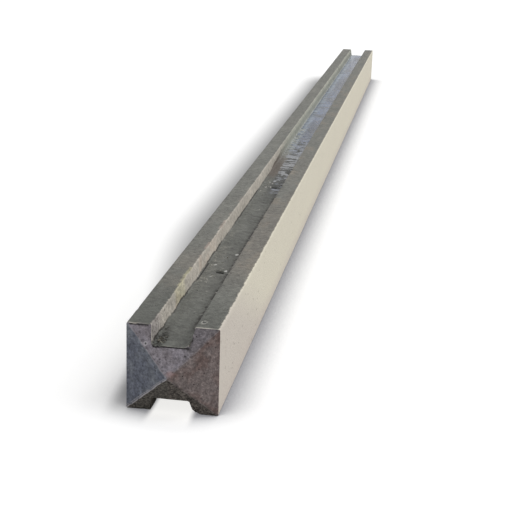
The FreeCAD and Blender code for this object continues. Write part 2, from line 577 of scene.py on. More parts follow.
def line_at(tree, girth_at, corner_name, offset, half_line):
    """1 on a thin line along the post, at a distance past the corner that starts a face."""
    centre = corner_girth[faces_round.index(corner_name)] + offset
    return strip(tree, girth_at, centre, half_line * 1.5, half_line * 0.5)


class Skin:
    """Where a place on the skin is, with the noises that its finishes share.

    along is measured from the tip, and girth round the section, with a ragged edge to it.
    """

    def __init__(self, tree, place):
        self.tree = tree
        self.place = place
        self.spot = node(tree, "ShaderNodeSeparateXYZ", {0: place}).outputs
        self.along = maths(tree, "SUBTRACT", self.spot["Y"], tip_y)
        girth_uv = node(tree, "ShaderNodeUVMap", uv_map="Girth").outputs["UV"]
        self.true_girth = node(tree, "ShaderNodeSeparateXYZ", {0: girth_uv}).outputs[0]
        self.frayed = cloud(tree, place, 0.0045, 3.0, 0.7)
        ragged = maths(tree, "SUBTRACT", cloud(tree, place, 0.026, 5.0, 0.75), 0.675)
        ragged = maths(tree, "MULTIPLY_ADD", self.frayed, 0.35, ragged)
        raggedness = between(tree, self.along, 0.85, 0.20, 0.0036, 0.0086)
        ragged = maths(tree, "MULTIPLY", ragged, raggedness)
        self.girth = maths(tree, "ADD", self.true_girth, ragged)
        self.share = maths(tree, "DIVIDE", self.girth, whole_girth)
        self.opened = self.on(*open_faces)
        self.on_floor = self.on("slot_floor")
        self.on_wall = self.on("left_wall")
        self.broad = cloud(tree, place, 0.20, 3.0, 0.5, (1.6, 0.6, 1.6))
        self.patch = cloud(tree, place, 0.045, 4.0, 0.6, (1.3, 0.6, 1.3))
        self.streak = cloud(tree, place, 0.0080, 4.0, 0.75)
        self.grain = cloud(tree, place, 0.0030, 3.0, 0.7)

    def on(self, *names):
        """1 on the named faces and 0 on the others."""
        white, black = (1.0, 1.0, 1.0, 1.0), (0.0, 0.0, 0.0, 1.0)
        values = [white if face in names else black for face in faces_round]
        return around(self.tree, self.share, values)


def weathered_wall(skin, colour):
    """The left wall goes grey past 1 m, and brown damp climbs its foot from 0.9 m on."""
    tree, along = skin.tree, skin.along
    rise = maths(tree, "SUBTRACT", skin.girth, corner_girth[faces_round.index("left_wall")])
    damp_rise = between(tree, along, 0.86, 1.15, 0.0, 0.0125)
    uneven = maths(tree, "MULTIPLY_ADD", skin.patch, 0.012, -0.006)
    below = maths(tree, "SUBTRACT", maths(tree, "ADD", damp_rise, uneven), rise)
    brown = mixed(tree, between(tree, along, 1.02, 1.20), paint(104, 95, 88),
                  paint(154, 156, 147))
    colour = laid(tree, colour, paint(170, 172, 160), skin.on_wall,
                  between(tree, along, 1.0, 1.3), 0.85)
    return laid(tree, colour, brown, skin.on_wall, between(tree, below, -0.0008, 0.0012),
                between(tree, along, 0.84, 0.92))


def bled_cement(skin, colour):
    """Cement bled over the slot's left mouth in steps, and is yellower near the point."""
    tree, along, place = skin.tree, skin.along, skin.place
    yellow = mixed(tree, between(tree, along, 0.24, 0.30), paint(184, 179, 150),
                   paint(160, 146, 136))
    colour = laid(tree, colour, yellow,
                  line_at(tree, skin.girth, "left_flange", 0.0016, 0.0022),
                  lumps(tree, place, 0.055, 0.49, 0.53, 2.0, 0.5),
                  stretch(tree, along, 0.09, 0.13, 0.30, 0.85), 0.80)
    colour = laid(tree, colour, paint(186, 170, 156), skin.on_wall,
                  lumps(tree, place, 0.040, 0.50, 0.62, 2.0, 0.55),
                  between(tree, along, 0.60, 0.30), 0.45)
    return laid(tree, colour, paint(194, 189, 150), skin.on_wall,
                stretch(tree, along, 0.140, 0.160, 0.190, 0.215), 0.40)


def front_of_walls(skin, colour):
    """The left wall's front end is a speckled pinkish grey, and the right one's is dark."""
    tree, along = skin.tree, skin.along
    colour = laid(tree, colour, paint(149, 144, 141), skin.on_wall,
                  between(tree, along, 0.085, 0.050), 0.85)
    colour = laid(tree, colour, paint(84, 78, 74), skin.on_wall,
                  lumps(tree, skin.place, 0.0034, 0.50, 0.62, 2.0),
                  between(tree, along, 0.14, 0.05, 0.08, 0.60))
    return laid(tree, colour, paint(58, 55, 51), skin.on("right_wall"),
                between(tree, along, 0.070, 0.050))


def stained_open_faces(skin, colour):
    """Brown patches in the nearer half of the open faces, and darker by the point."""
    tree, along = skin.tree, skin.along
    off_floor = maths(tree, "SUBTRACT", skin.opened,
                      maths(tree, "MULTIPLY", skin.on_floor, 0.85))
    colour = laid(tree, colour, paint(122, 106, 94), off_floor,
                  between(tree, along, 0.14, 0.28), between(tree, along, 1.1, 0.6, 0.25, 1.0),
                  between(tree, skin.broad, 0.44, 0.62), 0.20)
    colour = laid(tree, colour, paint(108, 102, 93), skin.on("left_flange"),
                  between(tree, skin.patch, 0.36, 0.60),
                  stretch(tree, along, 0.08, 0.16, 0.26, 0.40), 0.45)
    colour = laid(tree, colour, paint(118, 108, 95), skin.on("right_flange"),
                  between(tree, skin.patch, 0.50, 0.66), between(tree, along, 0.20, 0.30), 0.5)
    less_on_floor = maths(tree, "MULTIPLY_ADD", skin.on_floor, -0.80, 1.0)
    return laid(tree, colour, paint(60, 63, 58), skin.opened, less_on_floor,
                between(tree, along, 0.28, 0.03, 0.08, 0.66),
                between(tree, skin.spot["X"], 0.0, 0.04, 1.0, 0.68))


def pink_sides(skin, colour):
    """The sides are pinker near the point, lower down than up, and darker and pinker along the bed."""
    tree = skin.tree
    on_side = skin.on("right_side", "left_side")
    slope = maths(tree, "MULTIPLY_ADD", skin.spot["Z"], 2.4, skin.along)
    colour = laid(tree, colour, paint(203, 195, 185), on_side, between(tree, slope, 0.50, 0.30))
    return laid(tree, colour, paint(198, 188, 179), on_side,
                between(tree, skin.spot["Z"], 0.030, 0.004), 0.45)


def roughness_of(skin):
    """How rough the skin is: open faces most, then the walls, and the sides hardly at all."""
    tree = skin.tree
    on_wall = maths(tree, "MULTIPLY_ADD", skin.on_wall,
                    between(tree, skin.along, 0.25, 0.05, 1.5, 2.2), 0.12)
    return maths(tree, "MULTIPLY_ADD", skin.opened, 1.75, on_wall)


def mottled(skin, colour, rough):
    """The colour made lighter and darker in streaks, patches and grains."""
    tree = skin.tree
    strength = maths(tree, "SUBTRACT", skin.streak, 0.5)
    strength = maths(tree, "ADD", strength, maths(tree, "MULTIPLY_ADD", skin.patch, 0.5, -0.25))
    colour = scaled(tree, colour, maths(tree, "MULTIPLY_ADD", strength, rough, 1.0))
    return shaded(tree, colour, skin.grain, 0.16)


def wet_floor(skin, colour):
    """The rippled stretch of the slot floor is soaked, with brown and pale silt beside it, and
    painted sheen in pale blue dashes at its near end.
    """
    tree, along, across = skin.tree, skin.along, skin.spot["X"]
    colour = laid(tree, colour, paint(56, 57, 58), skin.on_floor,
                  stretch(tree, along, 0.70, 0.84, 1.35, 1.75),
                  between(tree, across, -0.012, -0.004), 0.62)
    colour = laid(tree, colour, paint(98, 88, 80), skin.on_floor,
                  stretch(tree, along, 0.88, 0.96, 1.08, 1.22),
                  between(tree, across, -0.004, -0.012), 0.75)
    # Painted sheen: pale blue dashes, for the sky reflected in the wet ripples.
    colour = laid(tree, colour, paint(158, 162, 172), skin.on_floor,
                  lumps(tree, skin.place, 0.010, 0.50, 0.58, 3.0, 0.6, (0.5, 1.7, 1.0)),
                  stretch(tree, along, 0.765, 0.800, 0.91, 0.95),
                  between(tree, across, -0.004, 0.003), 0.75)
    return laid(tree, colour, paint(172, 176, 172), skin.on_floor,
                between(tree, along, 1.00, 1.30), between(tree, across, -0.004, -0.011),
                between(tree, skin.streak, 0.34, 0.56), 0.9)


def foot_line_and_shade(skin, colour):
    """A ragged dark line along the foot of the left wall, and painted shade in a ragged line on the
    slot floor beside the right wall, where the right flange shades it.
    """
    tree, along, place = skin.tree, skin.along, skin.place
    left_line = product(tree, line_at(tree, skin.girth, "left_wall", 0.0010, 0.0011),
                        lumps(tree, place, 0.050, 0.40, 0.55, 3.0, 0.6, (1.0, 0.5, 1.0)),
                        between(tree, along, 1.0, 0.8), 0.85)
    crumbly = between(tree, cloud(tree, place, 0.011, 3.0, 0.7), 0.46, 0.54, 0.25, 1.0)
    # Painted shade: the slot floor beside the right wall lies in the right flange's shade.
    right_shade_line = product(tree, line_at(tree, skin.girth, "slot_floor", 0.0058, 0.0044), crumbly,
                         stretch(tree, along, 0.06, 0.10, 0.7, 0.85), 0.95)
    return mixed(tree, maths(tree, "MAXIMUM", left_line, right_shade_line), colour,
                 paint(48, 46, 42))


def pale_specks(skin, colour):
    """Pale flecks, dots, cement dust and grains on the slot floor."""
    tree, along, place = skin.tree, skin.along, skin.place
    across = skin.spot["X"]
    colour = laid(tree, colour, paint(170, 168, 160), skin.on_floor,
                  between(tree, across, 0.008, 0.014),
                  stretch(tree, along, 0.08, 0.14, 0.80, 0.95),
                  lumps(tree, place, 0.0060, 0.60, 0.66, 2.0, 0.6), 0.55)
    long_place = vector_sum(tree, "MULTIPLY", place, (1.0, 0.30, 1.0))
    colour = laid(tree, colour, paint(184, 182, 176), skin.on_floor,
                  stretch(tree, across, -0.021, -0.017, -0.006, -0.001),
                  stretch(tree, along, 0.760, 0.790, 0.870, 0.900),
                  pinholes(tree, long_place, size=0.0062, share=0.50, radius=0.24), 0.85)
    colour = laid(tree, colour, paint(168, 163, 150), skin.on_floor,
                  between(tree, across, -0.002, -0.014),
                  stretch(tree, along, 0.16, 0.26, 0.44, 0.60),
                  between(tree, skin.streak, 0.48, 0.66), 0.25)
    return laid(tree, colour, paint(178, 176, 168), skin.on_floor,
                pinholes(tree, place, size=0.0135, share=0.16, radius=0.13), 0.7)


def rim_highlight_and_bleed(skin, colour):
    """Pale along the front rim, most on the left wall and the right flange: partly cement bled
    out, and partly painted highlight on the rim's edge.
    """
    tree, across = skin.tree, skin.spot["X"]
    shoulder = maths(tree, "SUBTRACT", skin.along, point_length)
    floor_front = point_length * (floor_z - half_height) / half_height
    past_front = maths(tree, "SUBTRACT", skin.along, floor_front)
    lift = maths(tree, "SUBTRACT", height, skin.spot["Z"])
    past_wall = maths(tree, "MULTIPLY_ADD", lift, point_length / half_height, shoulder)
    parts = (
        (skin.on("right_flange"), between(tree, shoulder, 0.0032, 0.0012),
         between(tree, across, 0.050, 0.038, 0.35, 0.9)),
        (skin.on("left_flange"), between(tree, shoulder, 0.0030, 0.0012),
         between(tree, across, -0.034, -0.048, 0.15, 0.7)),
        (skin.on_floor, between(tree, past_front, 0.0024, 0.0010),
         between(tree, across, -0.012, -0.004), skin.frayed, 0.60),
        (skin.on_wall, between(tree, past_wall, 0.0040, 0.0018), 0.6),
    )
    rim = 0.0
    for part in parts:
        rim = maths(tree, "MAXIMUM", rim, product(tree, *part))
    return mixed(tree, rim, colour, paint(206, 200, 190))


def ringed_hole(skin, bent, colour):
    """One blow hole with a pale broken ring, on the right flange by the point."""
    tree = skin.tree
    ring_place = (0.0318, tip_y + 0.0510, height)
    broken = between(tree, skin.frayed, 0.40, 0.56, 0.15, 0.75)
    colour = laid(tree, colour, paint(176, 174, 166), broken,
                  spot_mask(tree, bent, ring_place, (0.0042, 0.0080, 0.0100), 0.35))
    return laid(tree, colour, paint(44, 44, 42),
                spot_mask(tree, bent, ring_place, (0.0024, 0.0040, 0.0100), 0.35))


def crumbled_corner(skin, colour):
    """The slot floor's front corner crumbled into dark pits between paler lumps."""
    tree, along, place = skin.tree, skin.along, skin.place
    colour = laid(tree, colour, dirt_black, skin.on_floor,
                  spot_mask(tree, place, (-0.0165, tip_y + 0.044, floor_z),
                            (0.0092, 0.042, 0.0120), 0.5),
                  lumps(tree, place, 0.0055, 0.43, 0.53), 0.66)
    return laid(tree, colour, dirt_black, skin.on_floor,
                between(tree, skin.spot["X"], -0.013, -0.018),
                between(tree, along, 0.105, 0.085),
                lumps(tree, place, 0.0050, 0.52, 0.58, 2.0, 0.6), 0.85)


def crack_and_splashes(skin, bent, colour):
    """A crack along the foot of the left wall, and pale splashes beside the nearest dent."""
    tree = skin.tree
    colour = laid(tree, colour, paint(30, 28, 26),
                  line_at(tree, skin.true_girth, "left_wall", -0.0010, 0.0009),
                  stretch(tree, skin.along, 0.262, 0.268, 0.343, 0.348), 0.9)
    for across, at, reach in ((0.0090, 0.316, 0.0025), (0.0100, 0.397, 0.0024),
                              (0.0150, 0.366, 0.0016), (-0.0062, 0.286, 0.0014),
                              (-0.0100, 0.340, 0.0014)):
        splash = spot_mask(tree, bent, (across, tip_y + at, floor_z), (reach, reach * 2, 0.01))
        colour = laid(tree, colour, paint(226, 226, 222), splash, 0.85)
    return colour


def skin_material():
    """The skin from the shoulder to the foot, coloured by its place around the section."""
    made, tree, shader, place = new_material("cast_skin")
    skin = Skin(tree, place)
    colour = around(tree, skin.share, [face_colours[name] for name in faces_round])
    for finish in (weathered_wall, bled_cement, front_of_walls, stained_open_faces, pink_sides):
        colour = finish(skin, colour)
    rough = roughness_of(skin)
    colour = mottled(skin, colour, rough)
    for finish in (wet_floor, foot_line_and_shade, pale_specks, rim_highlight_and_bleed):
        colour = finish(skin, colour)

    bend = vector_sum(tree, "ADD", place, noise_place)
    bend = node(tree, "ShaderNodeTexNoise", {"Vector": bend, "Scale": 260.0}).outputs["Color"]
    bend = scaled(tree, vector_sum(tree, "SUBTRACT", bend, (0.5, 0.5, 0.5)), 0.007)
    bent = vector_sum(tree, "ADD", place, bend)
    colour = ringed_hole(skin, bent, colour)
    colour = crumbled_corner(skin, colour)
    colour = crack_and_splashes(skin, bent, colour)

    pits = pinholes(tree, place, size=0.013, share=0.18, radius=0.12)
    colour = laid(tree, colour, paint(52, 50, 46), pits,
                  maths(tree, "MULTIPLY_ADD", skin.opened, 0.45, 0.10))
    # Painted shade: the dents are painted near black, for the shade in their hollows.
    for across, at, half_across, half_along, _ in dents:
        dent = dent_mask(tree, skin.spot, across, at, half_across, half_along)
        colour = laid(tree, colour, paint(14, 13, 12), dent, skin.on_floor)

    tree.links.new(colour, shader.inputs["Base Color"])
    tree.links.new(maths(tree, "MULTIPLY_ADD", skin.opened, -0.22, 0.86),
                   shader.inputs["Roughness"])
    shader.inputs["Specular IOR Level"].default_value = dull
    relief = maths(tree, "MULTIPLY_ADD", skin.streak, rough, skin.grain)
    bumped(tree, shader, maths(tree, "MULTIPLY_ADD", pits, -1.5, relief), depth=0.0008)
    return made


def facet_colours_and_shade(tree, place, spot, grain, off_ridge, rightwards, is_above):
    """The four facets in blue grey, brown, mauve and nearly black, partly weathering and partly
    painted shade, darkest on the lower facet, which faces the floor.
    """
    patch = cloud(tree, place, 0.026, 3.0, 0.6)
    left = mixed(tree, between(tree, patch, 0.35, 0.65), paint(105, 109, 121),
                 paint(124, 128, 135))
    right = mixed(tree, between(tree, patch, 0.38, 0.62), paint(108, 92, 88),
                  paint(120, 110, 108))
    upper = mixed(tree, between(tree, patch, 0.35, 0.65), paint(120, 114, 118),
                  paint(136, 131, 138))
    upper = laid(tree, upper, paint(104, 99, 101), between(tree, spot["X"], 0.008, 0.028), 0.6)
    # Painted shade: the lower facet, which faces the floor, is painted nearly black.
    lower = mixed(tree, between(tree, grain, 0.38, 0.62), paint(69, 64, 60),
                  paint(111, 104, 98))
    on_left = maths(tree, "SUBTRACT", 1.0, rightwards)
    lower = laid(tree, lower, paint(96, 96, 89), on_left, 0.35)
    # The ridge above the right facet is worn round, so its colours run into each other.
    softness = maths(tree, "MULTIPLY_ADD", rightwards, 0.0028, 0.0006)
    turned = between(tree, maths(tree, "DIVIDE", off_ridge, softness), -1.0, 1.0)
    return mixed(tree, turned, mixed(tree, is_above, lower, upper),
                 mixed(tree, rightwards, left, right))


def ridge_wear_and_highlights(tree, place, off_ridge, rightwards, is_above):
    """Pale lines along the ridges, partly wear and partly painted highlight, boldest and double
    on the lower left one.
    """
    on_left = maths(tree, "SUBTRACT", 1.0, rightwards)
    below_left = product(tree, on_left, maths(tree, "SUBTRACT", 1.0, is_above))
    ridge = between(tree, maths(tree, "ABSOLUTE", off_ridge), 0.0014, 0.0004)
    second = product(tree, strip(tree, off_ridge, 0.0026, 0.0011, 0.0003), below_left, 0.55)
    boldness = maths(tree, "MULTIPLY_ADD", below_left, 0.80, 0.14)
    boldness = maths(tree, "ADD", boldness, product(tree, on_left, is_above, 0.22))
    return product(tree, maths(tree, "MAXIMUM", ridge, second), boldness,
                   lumps(tree, place, 0.0095, 0.38, 0.54, 3.0, 0.6))


# The lip that the open faces' skin ends in: its thickness, and the left flange's place.
lip_thickness = 0.0016
left_lip_thickness = 0.0022
left_lip_x = -0.0400


def painted_shade_under_lip(tree, place, spot):
    """Painted shade: the dark line under the lip of skin that the open faces end in, over the
    point, and up beside the right wall.
    """
    under_floor = product(
        tree, strip(tree, spot["Z"], floor_z - lip_thickness, 0.0013, 0.0006),
        strip(tree, spot["X"], 0.0, 0.0225, 0.0205))
    under_left = product(
        tree, strip(tree, spot["Z"], height - left_lip_thickness, 0.0011, 0.0005),
        strip(tree, spot["X"], left_lip_x, 0.0125, 0.0100))
    up_wall = maths(tree, "SUBTRACT", spot["Z"], floor_z)
    wall_lean = (slot_mouth - slot_floor) / 2 / slot_depth
    wall_x = maths(tree, "MULTIPLY_ADD", up_wall, wall_lean, slot_floor / 2)
    beside_right = maths(tree, "SUBTRACT", spot["X"], wall_x)
    curl = product(tree, strip(tree, beside_right, 0.0012, 0.0012, 0.0006),
                   stretch(tree, up_wall, -0.0030, -0.0020, 0.0090, 0.0120),
                   between(tree, cloud(tree, place, 0.0045, 2.0), 0.42, 0.52, 0.35, 1.0))
    return maths(tree, "MAXIMUM", maths(tree, "MAXIMUM", under_floor, under_left), curl)


def point_material():
    """The pointed top: four facets of gritty concrete, partly painted shade, with pale wear and
    painted highlight along the ridges.
    """
    made, tree, shader, place = new_material("point_grit")
    spot = node(tree, "ShaderNodeSeparateXYZ", {0: place}).outputs
    above = maths(tree, "SUBTRACT", spot["Z"], half_height)
    wander = maths(tree, "MULTIPLY_ADD", cloud(tree, place, 0.014, 3.0, 0.6), 0.0040, -0.0020)
    ridge_x = maths(tree, "MULTIPLY", maths(tree, "ABSOLUTE", above), half_width / half_height)
    off_ridge = maths(tree, "SUBTRACT", maths(tree, "ABSOLUTE", spot["X"]), ridge_x)
    off_ridge = maths(tree, "ADD", off_ridge, wander)
    rightwards = maths(tree, "GREATER_THAN", spot["X"], 0.0)
    is_above = maths(tree, "GREATER_THAN", above, 0.0)
    coarse = cloud(tree, place, 0.0052, 3.0, 0.70)
    grain = cloud(tree, place, 0.0030, 2.0, 0.75)
    colour = facet_colours_and_shade(tree, place, spot, grain, off_ridge, rightwards, is_above)
    colour = shaded(tree, shaded(tree, colour, coarse, 0.85), grain, 0.85)

    pits = pinholes(tree, place, size=0.0054, share=0.26, radius=0.15)
    colour = laid(tree, colour, paint(46, 42, 42), pits,
                  maths(tree, "MULTIPLY_ADD", rightwards, 0.45, 0.30))
    colour = laid(tree, colour, paint(172, 164, 162),
                  pinholes(tree, scaled(tree, place, 1.07), size=0.0046, share=0.24, radius=0.15), 0.42)

    # One pit with a pale rim beside the upper left ridge, and a pink blemish by the tip.
    pit_place = (-0.0290, tip_y + 0.0193, 0.0860)
    for reach, tone, amount in ((0.0030, paint(176, 172, 176), 0.65),
                                (0.0014, paint(52, 50, 52), 0.85)):
        pit = spot_mask(tree, place, pit_place, (reach, reach * 3, reach))
        colour = laid(tree, colour, tone, pit, amount)
    blemish = spot_mask(tree, place, (0.0035, tip_y + 0.003, 0.0580), (0.007, 0.02, 0.005), 0.8)
    colour = laid(tree, colour, paint(158, 128, 124), blemish, 0.55)
    # Pale lines along the ridges, partly wear and partly painted highlight.
    colour = laid(tree, colour, paint(186, 182, 186),
                  ridge_wear_and_highlights(tree, place, off_ridge, rightwards, is_above))
    # Painted shade under the lip of the open faces' skin.
    colour = laid(tree, colour, paint(34, 33, 30), painted_shade_under_lip(tree, place, spot), 0.85)

    finish_dull(tree, shader, colour, roughness=0.85)
    relief = maths(tree, "ADD", grain, coarse)
    bumped(tree, shader, maths(tree, "MULTIPLY_ADD", pits, -1.5, relief), depth=0.0009)
    return made


def foot_material():
    """The square foot, which stands in the ground: plain grey concrete off the end plate."""
    made, tree, shader, place = new_material("foot_end")
    patch = cloud(tree, place, 0.035, 3.0, 0.6)
    grain = cloud(tree, place, 0.0040, 4.0, 0.75)
    colour = mixed(tree, between(tree, patch, 0.35, 0.65), paint(140, 136, 126),
                   paint(160, 156, 145))
    colour = shaded(tree, colour, grain, 0.20)
    pits = pinholes(tree, place, size=0.0100, share=0.35, radius=0.16)
    colour = laid(tree, colour, paint(60, 57, 52), pits, 0.6)
    finish_dull(tree, shader, colour, roughness=0.88)
    bumped(tree, shader, maths(tree, "SUBTRACT", grain, pits), depth=0.0009)
    return made


casting_materials = [skin_material(), point_material(), foot_material()]


# The casting's relief. Its moulded faces wander by a few tenths of a millimetre, the slot
# floor was trowelled in ripples that fall to the right, and the arrises have small chips.

band_length = 0.026
holed_length = 0.12
holes_per_square_metre = 1600.0
crumble_depth = 0.0024
toe_depth = 0.0034
fillet_height = 0.0034


def relief_input(tree, name, kind):
    """Adds a named input to a tree of geometry nodes."""
    tree.interface.new_socket(name, in_out="INPUT", socket_type=kind)


def named(tree, name, data_type="FLOAT"):
    """A stored attribute as a field."""
    made = node(tree, "GeometryNodeInputNamedAttribute", {"Name": name}, data_type=data_type)
    return made.outputs["Attribute"]


def ripples(tree, place, spot, along):
    """The trowel's ripples: bands across the slot, bent and broken by noise."""
    bend = maths(tree, "MULTIPLY_ADD", cloud(tree, place, 0.045, 3.0, 0.6), 0.100, spot["Y"])
    bands = maths(tree, "SINE", maths(tree, "MULTIPLY", bend, math.tau / band_length))
    bands = maths(tree, "MULTIPLY_ADD", bands, 0.5, 0.5)
    broken = between(tree, cloud(tree, place, 0.026, 3.0, 0.7), 0.36, 0.56, 0.30, 1.0)
    spread = maths(tree, "ADD", spot["X"], between(tree, along, 0.85, 1.45, 0.0, 0.0150))
    return product(tree, bands, broken, between(tree, along, 0.30, 0.80, 0.12, 1.0),
                   between(tree, along, 1.75, 1.25, 0.35, 1.0),
                   between(tree, spread, -0.0120, -0.0020, 0.10, 1.0))


def blow_holes(tree, given, along):
    """Small round holes at random, near the point only."""
    near_point = maths(tree, "LESS_THAN", along, holed_length)
    holes = node(tree, "GeometryNodeDistributePointsOnFaces",
                 {"Mesh": given["Geometry"], "Selection": near_point,
                  "Density": holes_per_square_metre, "Seed": given["Seed"]}).outputs["Points"]
    nearest = node(tree, "GeometryNodeProximity", {"Geometry": holes},
                   target_element="POINTS").outputs["Distance"]
    return between(tree, nearest, given["Blow Hole Radius"], 0.0)


def lip_grooves(tree, spot):
    """The groove under the lip of the slot floor's skin and of the left flange's."""
    across_floor = maths(tree, "ABSOLUTE", spot["X"])
    low_lip = product(tree, strip(tree, spot["Z"], floor_z - lip_thickness, 0.0016, 0.0004),
                      maths(tree, "LESS_THAN", across_floor, 0.0215))
    across_flange = maths(tree, "ABSOLUTE", maths(tree, "SUBTRACT", spot["X"], left_lip_x))
    high_lip = product(
        tree, strip(tree, spot["Z"], height - left_lip_thickness, 0.0014, 0.0004),
        maths(tree, "LESS_THAN", across_flange, 0.0120))
    return maths(tree, "MAXIMUM", low_lip, high_lip)


def damage(tree, place):
    """The slot floor's crumbled front corner and the chipped toe at the lower right."""
    crumbled = product(
        tree, spot_mask(tree, place, (-0.0155, tip_y + 0.034, floor_z), (0.0085, 0.030, 0.006)),
        lumps(tree, place, 0.005, 0.40, 0.58), crumble_depth)
    toe = spot_mask(tree, place, (slot_mouth / 2, tip_y + 0.034, 0.0),
                    (0.0085, 0.050, 0.0085), 1.0)
    return maths(tree, "ADD", crumbled, maths(tree, "MULTIPLY", toe, toe_depth))


def relief_tree():
    """Pushes the casting's vertices inwards, and gives each face its material."""
    tree = bpy.data.node_groups.new("casting_relief", "GeometryNodeTree")
    relief_input(tree, "Geometry", "NodeSocketGeometry")
    for name in ("Wave Depth", "Grit Depth", "Chip Depth", "Ripple Depth", "Floor Fall",
                 "Blow Hole Depth", "Blow Hole Radius", "Lip Depth"):
        relief_input(tree, name, "NodeSocketFloat")
    relief_input(tree, "Seed", "NodeSocketInt")
    tree.interface.new_socket("Geometry", in_out="OUTPUT", socket_type="NodeSocketGeometry")
    given = node(tree, "NodeGroupInput").outputs
    place = node(tree, "GeometryNodeInputPosition").outputs[0]
    outwards = node(tree, "GeometryNodeInputNormal").outputs[0]
    spot = node(tree, "ShaderNodeSeparateXYZ", {0: place}).outputs
    along = maths(tree, "SUBTRACT", spot["Y"], tip_y)
    floor_field = named(tree, "slot_floor")
    point_field = named(tree, "point")

    # Depths of the parts of the relief, all of them pressed inwards.
    rough = maths(tree, "MULTIPLY_ADD", named(tree, "open_face"), 0.6,
                  maths(tree, "MULTIPLY_ADD", point_field, 0.8, 0.12))
    outer = between(tree, maths(tree, "ABSOLUTE", spot["X"]), 0.046, 0.050, 1.0, 0.15)
    across_floor = between(tree, spot["X"], -slot_floor / 2, slot_floor / 2)
    parts = [
        product(tree, cloud(tree, place, 0.20, 1.0), given["Wave Depth"]),
        product(tree, cloud(tree, place, 0.006, 3.0, 0.65), rough, given["Grit Depth"]),
        product(tree, lumps(tree, place, 0.020, 0.54, 0.72, 3.0, 0.6), named(tree, "arris"),
                outer, given["Chip Depth"]),
        product(tree, ripples(tree, place, spot, along), floor_field, given["Ripple Depth"]),
        product(tree, across_floor, floor_field, given["Floor Fall"]),
        product(tree, blow_holes(tree, given, along), given["Blow Hole Depth"]),
        product(tree, lip_grooves(tree, spot), point_field, given["Lip Depth"]),
        damage(tree, place),
    ]
    for across, at, half_across, half_along, deep in dents:
        dent = dent_mask(tree, spot, across, at, half_across, half_along)
        parts.append(product(tree, dent, floor_field, deep))
    depth = parts[0]
    for part in parts[1:]:
        depth = maths(tree, "ADD", depth, part)

    # Mortar that the trowel left along the foot of the right wall.
    fillet_at = maths(tree, "SUBTRACT", slot_floor / 2, spot["X"])
    fillet = product(tree, between(tree, fillet_at, 0.0065, 0.0005), floor_field,
                     between(tree, along, 0.60, 0.50), fillet_height)
    depth = maths(tree, "SUBTRACT", depth, fillet)

    inwards = node(tree, "ShaderNodeVectorMath",
                   {0: outwards, "Scale": maths(tree, "MULTIPLY", depth, -1.0)},
                   operation="SCALE").outputs[0]
    geometry = node(tree, "GeometryNodeSetPosition",
                    {"Geometry": given["Geometry"], "Offset": inwards}).outputs[0]
    geometry = node(tree, "GeometryNodeRealizeInstances", {0: geometry}).outputs[0]
    kind = named(tree, "face_kind", "INT")
    for number, material in enumerate(casting_materials):
        chosen = node(tree, "FunctionNodeCompare", {2: kind, 3: number},
                      data_type="INT", operation="EQUAL").outputs[0]
        geometry = node(tree, "GeometryNodeSetMaterial",
                        {"Geometry": geometry, "Selection": chosen,
                         "Material": material}).outputs[0]
    node(tree, "NodeGroupOutput", {0: geometry})
    return tree


def finish_with(piece, tree, settings):
    """Runs a tree of geometry nodes on a piece and keeps the result as its plain mesh."""
    modifier = piece.modifiers.new("shape", "NODES")
    modifier.node_group = tree
    for socket in tree.interface.items_tree:
        if socket.name in settings:
            modifier[socket.identifier] = settings[socket.name]
    graph = bpy.context.evaluated_depsgraph_get()
    made = bpy.data.meshes.new_from_object(piece.evaluated_get(graph), depsgraph=graph)
    piece.modifiers.remove(modifier)
    piece.data = made
    made.polygons.foreach_set("use_smooth", [True] * len(made.polygons))


finish_with(casting, relief_tree(), {
    "Wave Depth": 0.0005, "Grit Depth": 0.0008, "Chip Depth": 0.0024, "Ripple Depth": 0.0017,
    "Floor Fall": 0.0004, "Blow Hole Depth": 0.0012, "Blow Hole Radius": 0.0018,
    "Lip Depth": 0.0014, "Seed": 7})
casting.data.name = "post_casting"
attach(casting, "root")
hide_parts("concrete_post")


# ---- Rain water ------------------------------------------------------------------------
# The slot that lies upwards holds a film of rain water towards the foot. It stands in the
# hollows of the trowel's ripples on the right, and spreads to the left towards the foot.

water_start = tip_y + 0.865
water_end = foot_y - 0.012
water_half_width = 0.0212
water_rows = 580
water_columns = 12
water_bottom = floor_z - 0.0042
shallowest = 0.0016
deepest = 0.0003
rising_length = 0.95


def water_level(y):
    """Height of the water along the slot, which rises towards the foot."""
    share = min((y - water_start) / rising_length, 1.0)
    return floor_z - shallowest + (shallowest - deepest) * share


def lay_water():
    """A closed film: a top and a bottom sheet joined round their edges."""
    places, quads = [], []
    for row in range(water_rows + 1):
        y = water_start + (water_end - water_start) * row / water_rows
        for column in range(water_columns + 1):
            x = water_half_width * (2 * column / water_columns - 1)
            places.append((x, y, water_level(y)))
            places.append((x, y, water_bottom))
    stride = 2 * (water_columns + 1)

    def corner(row, column, layer):
        return row * stride + 2 * column + layer

    for row in range(water_rows):
        for column in range(water_columns):
            for layer in (0, 1):
                loop = [corner(row, column, layer), corner(row, column + 1, layer),
                        corner(row + 1, column + 1, layer), corner(row + 1, column, layer)]
                quads.append(loop[::-1] if layer else loop)
        for column, turn in ((0, -1), (water_columns, 1)):
            loop = [corner(row, column, 0), corner(row, column, 1),
                    corner(row + 1, column, 1), corner(row + 1, column, 0)]
            quads.append(loop[::turn])
    for column in range(water_columns):
        for row, turn in ((0, 1), (water_rows, -1)):
            loop = [corner(row, column, 0), corner(row, column, 1),
                    corner(row, column + 1, 1), corner(row, column + 1, 0)]
            quads.append(loop[::turn])
    mesh = bpy.data.meshes.new("rain_water")
    mesh.from_pydata(places, [], quads)
    return mesh


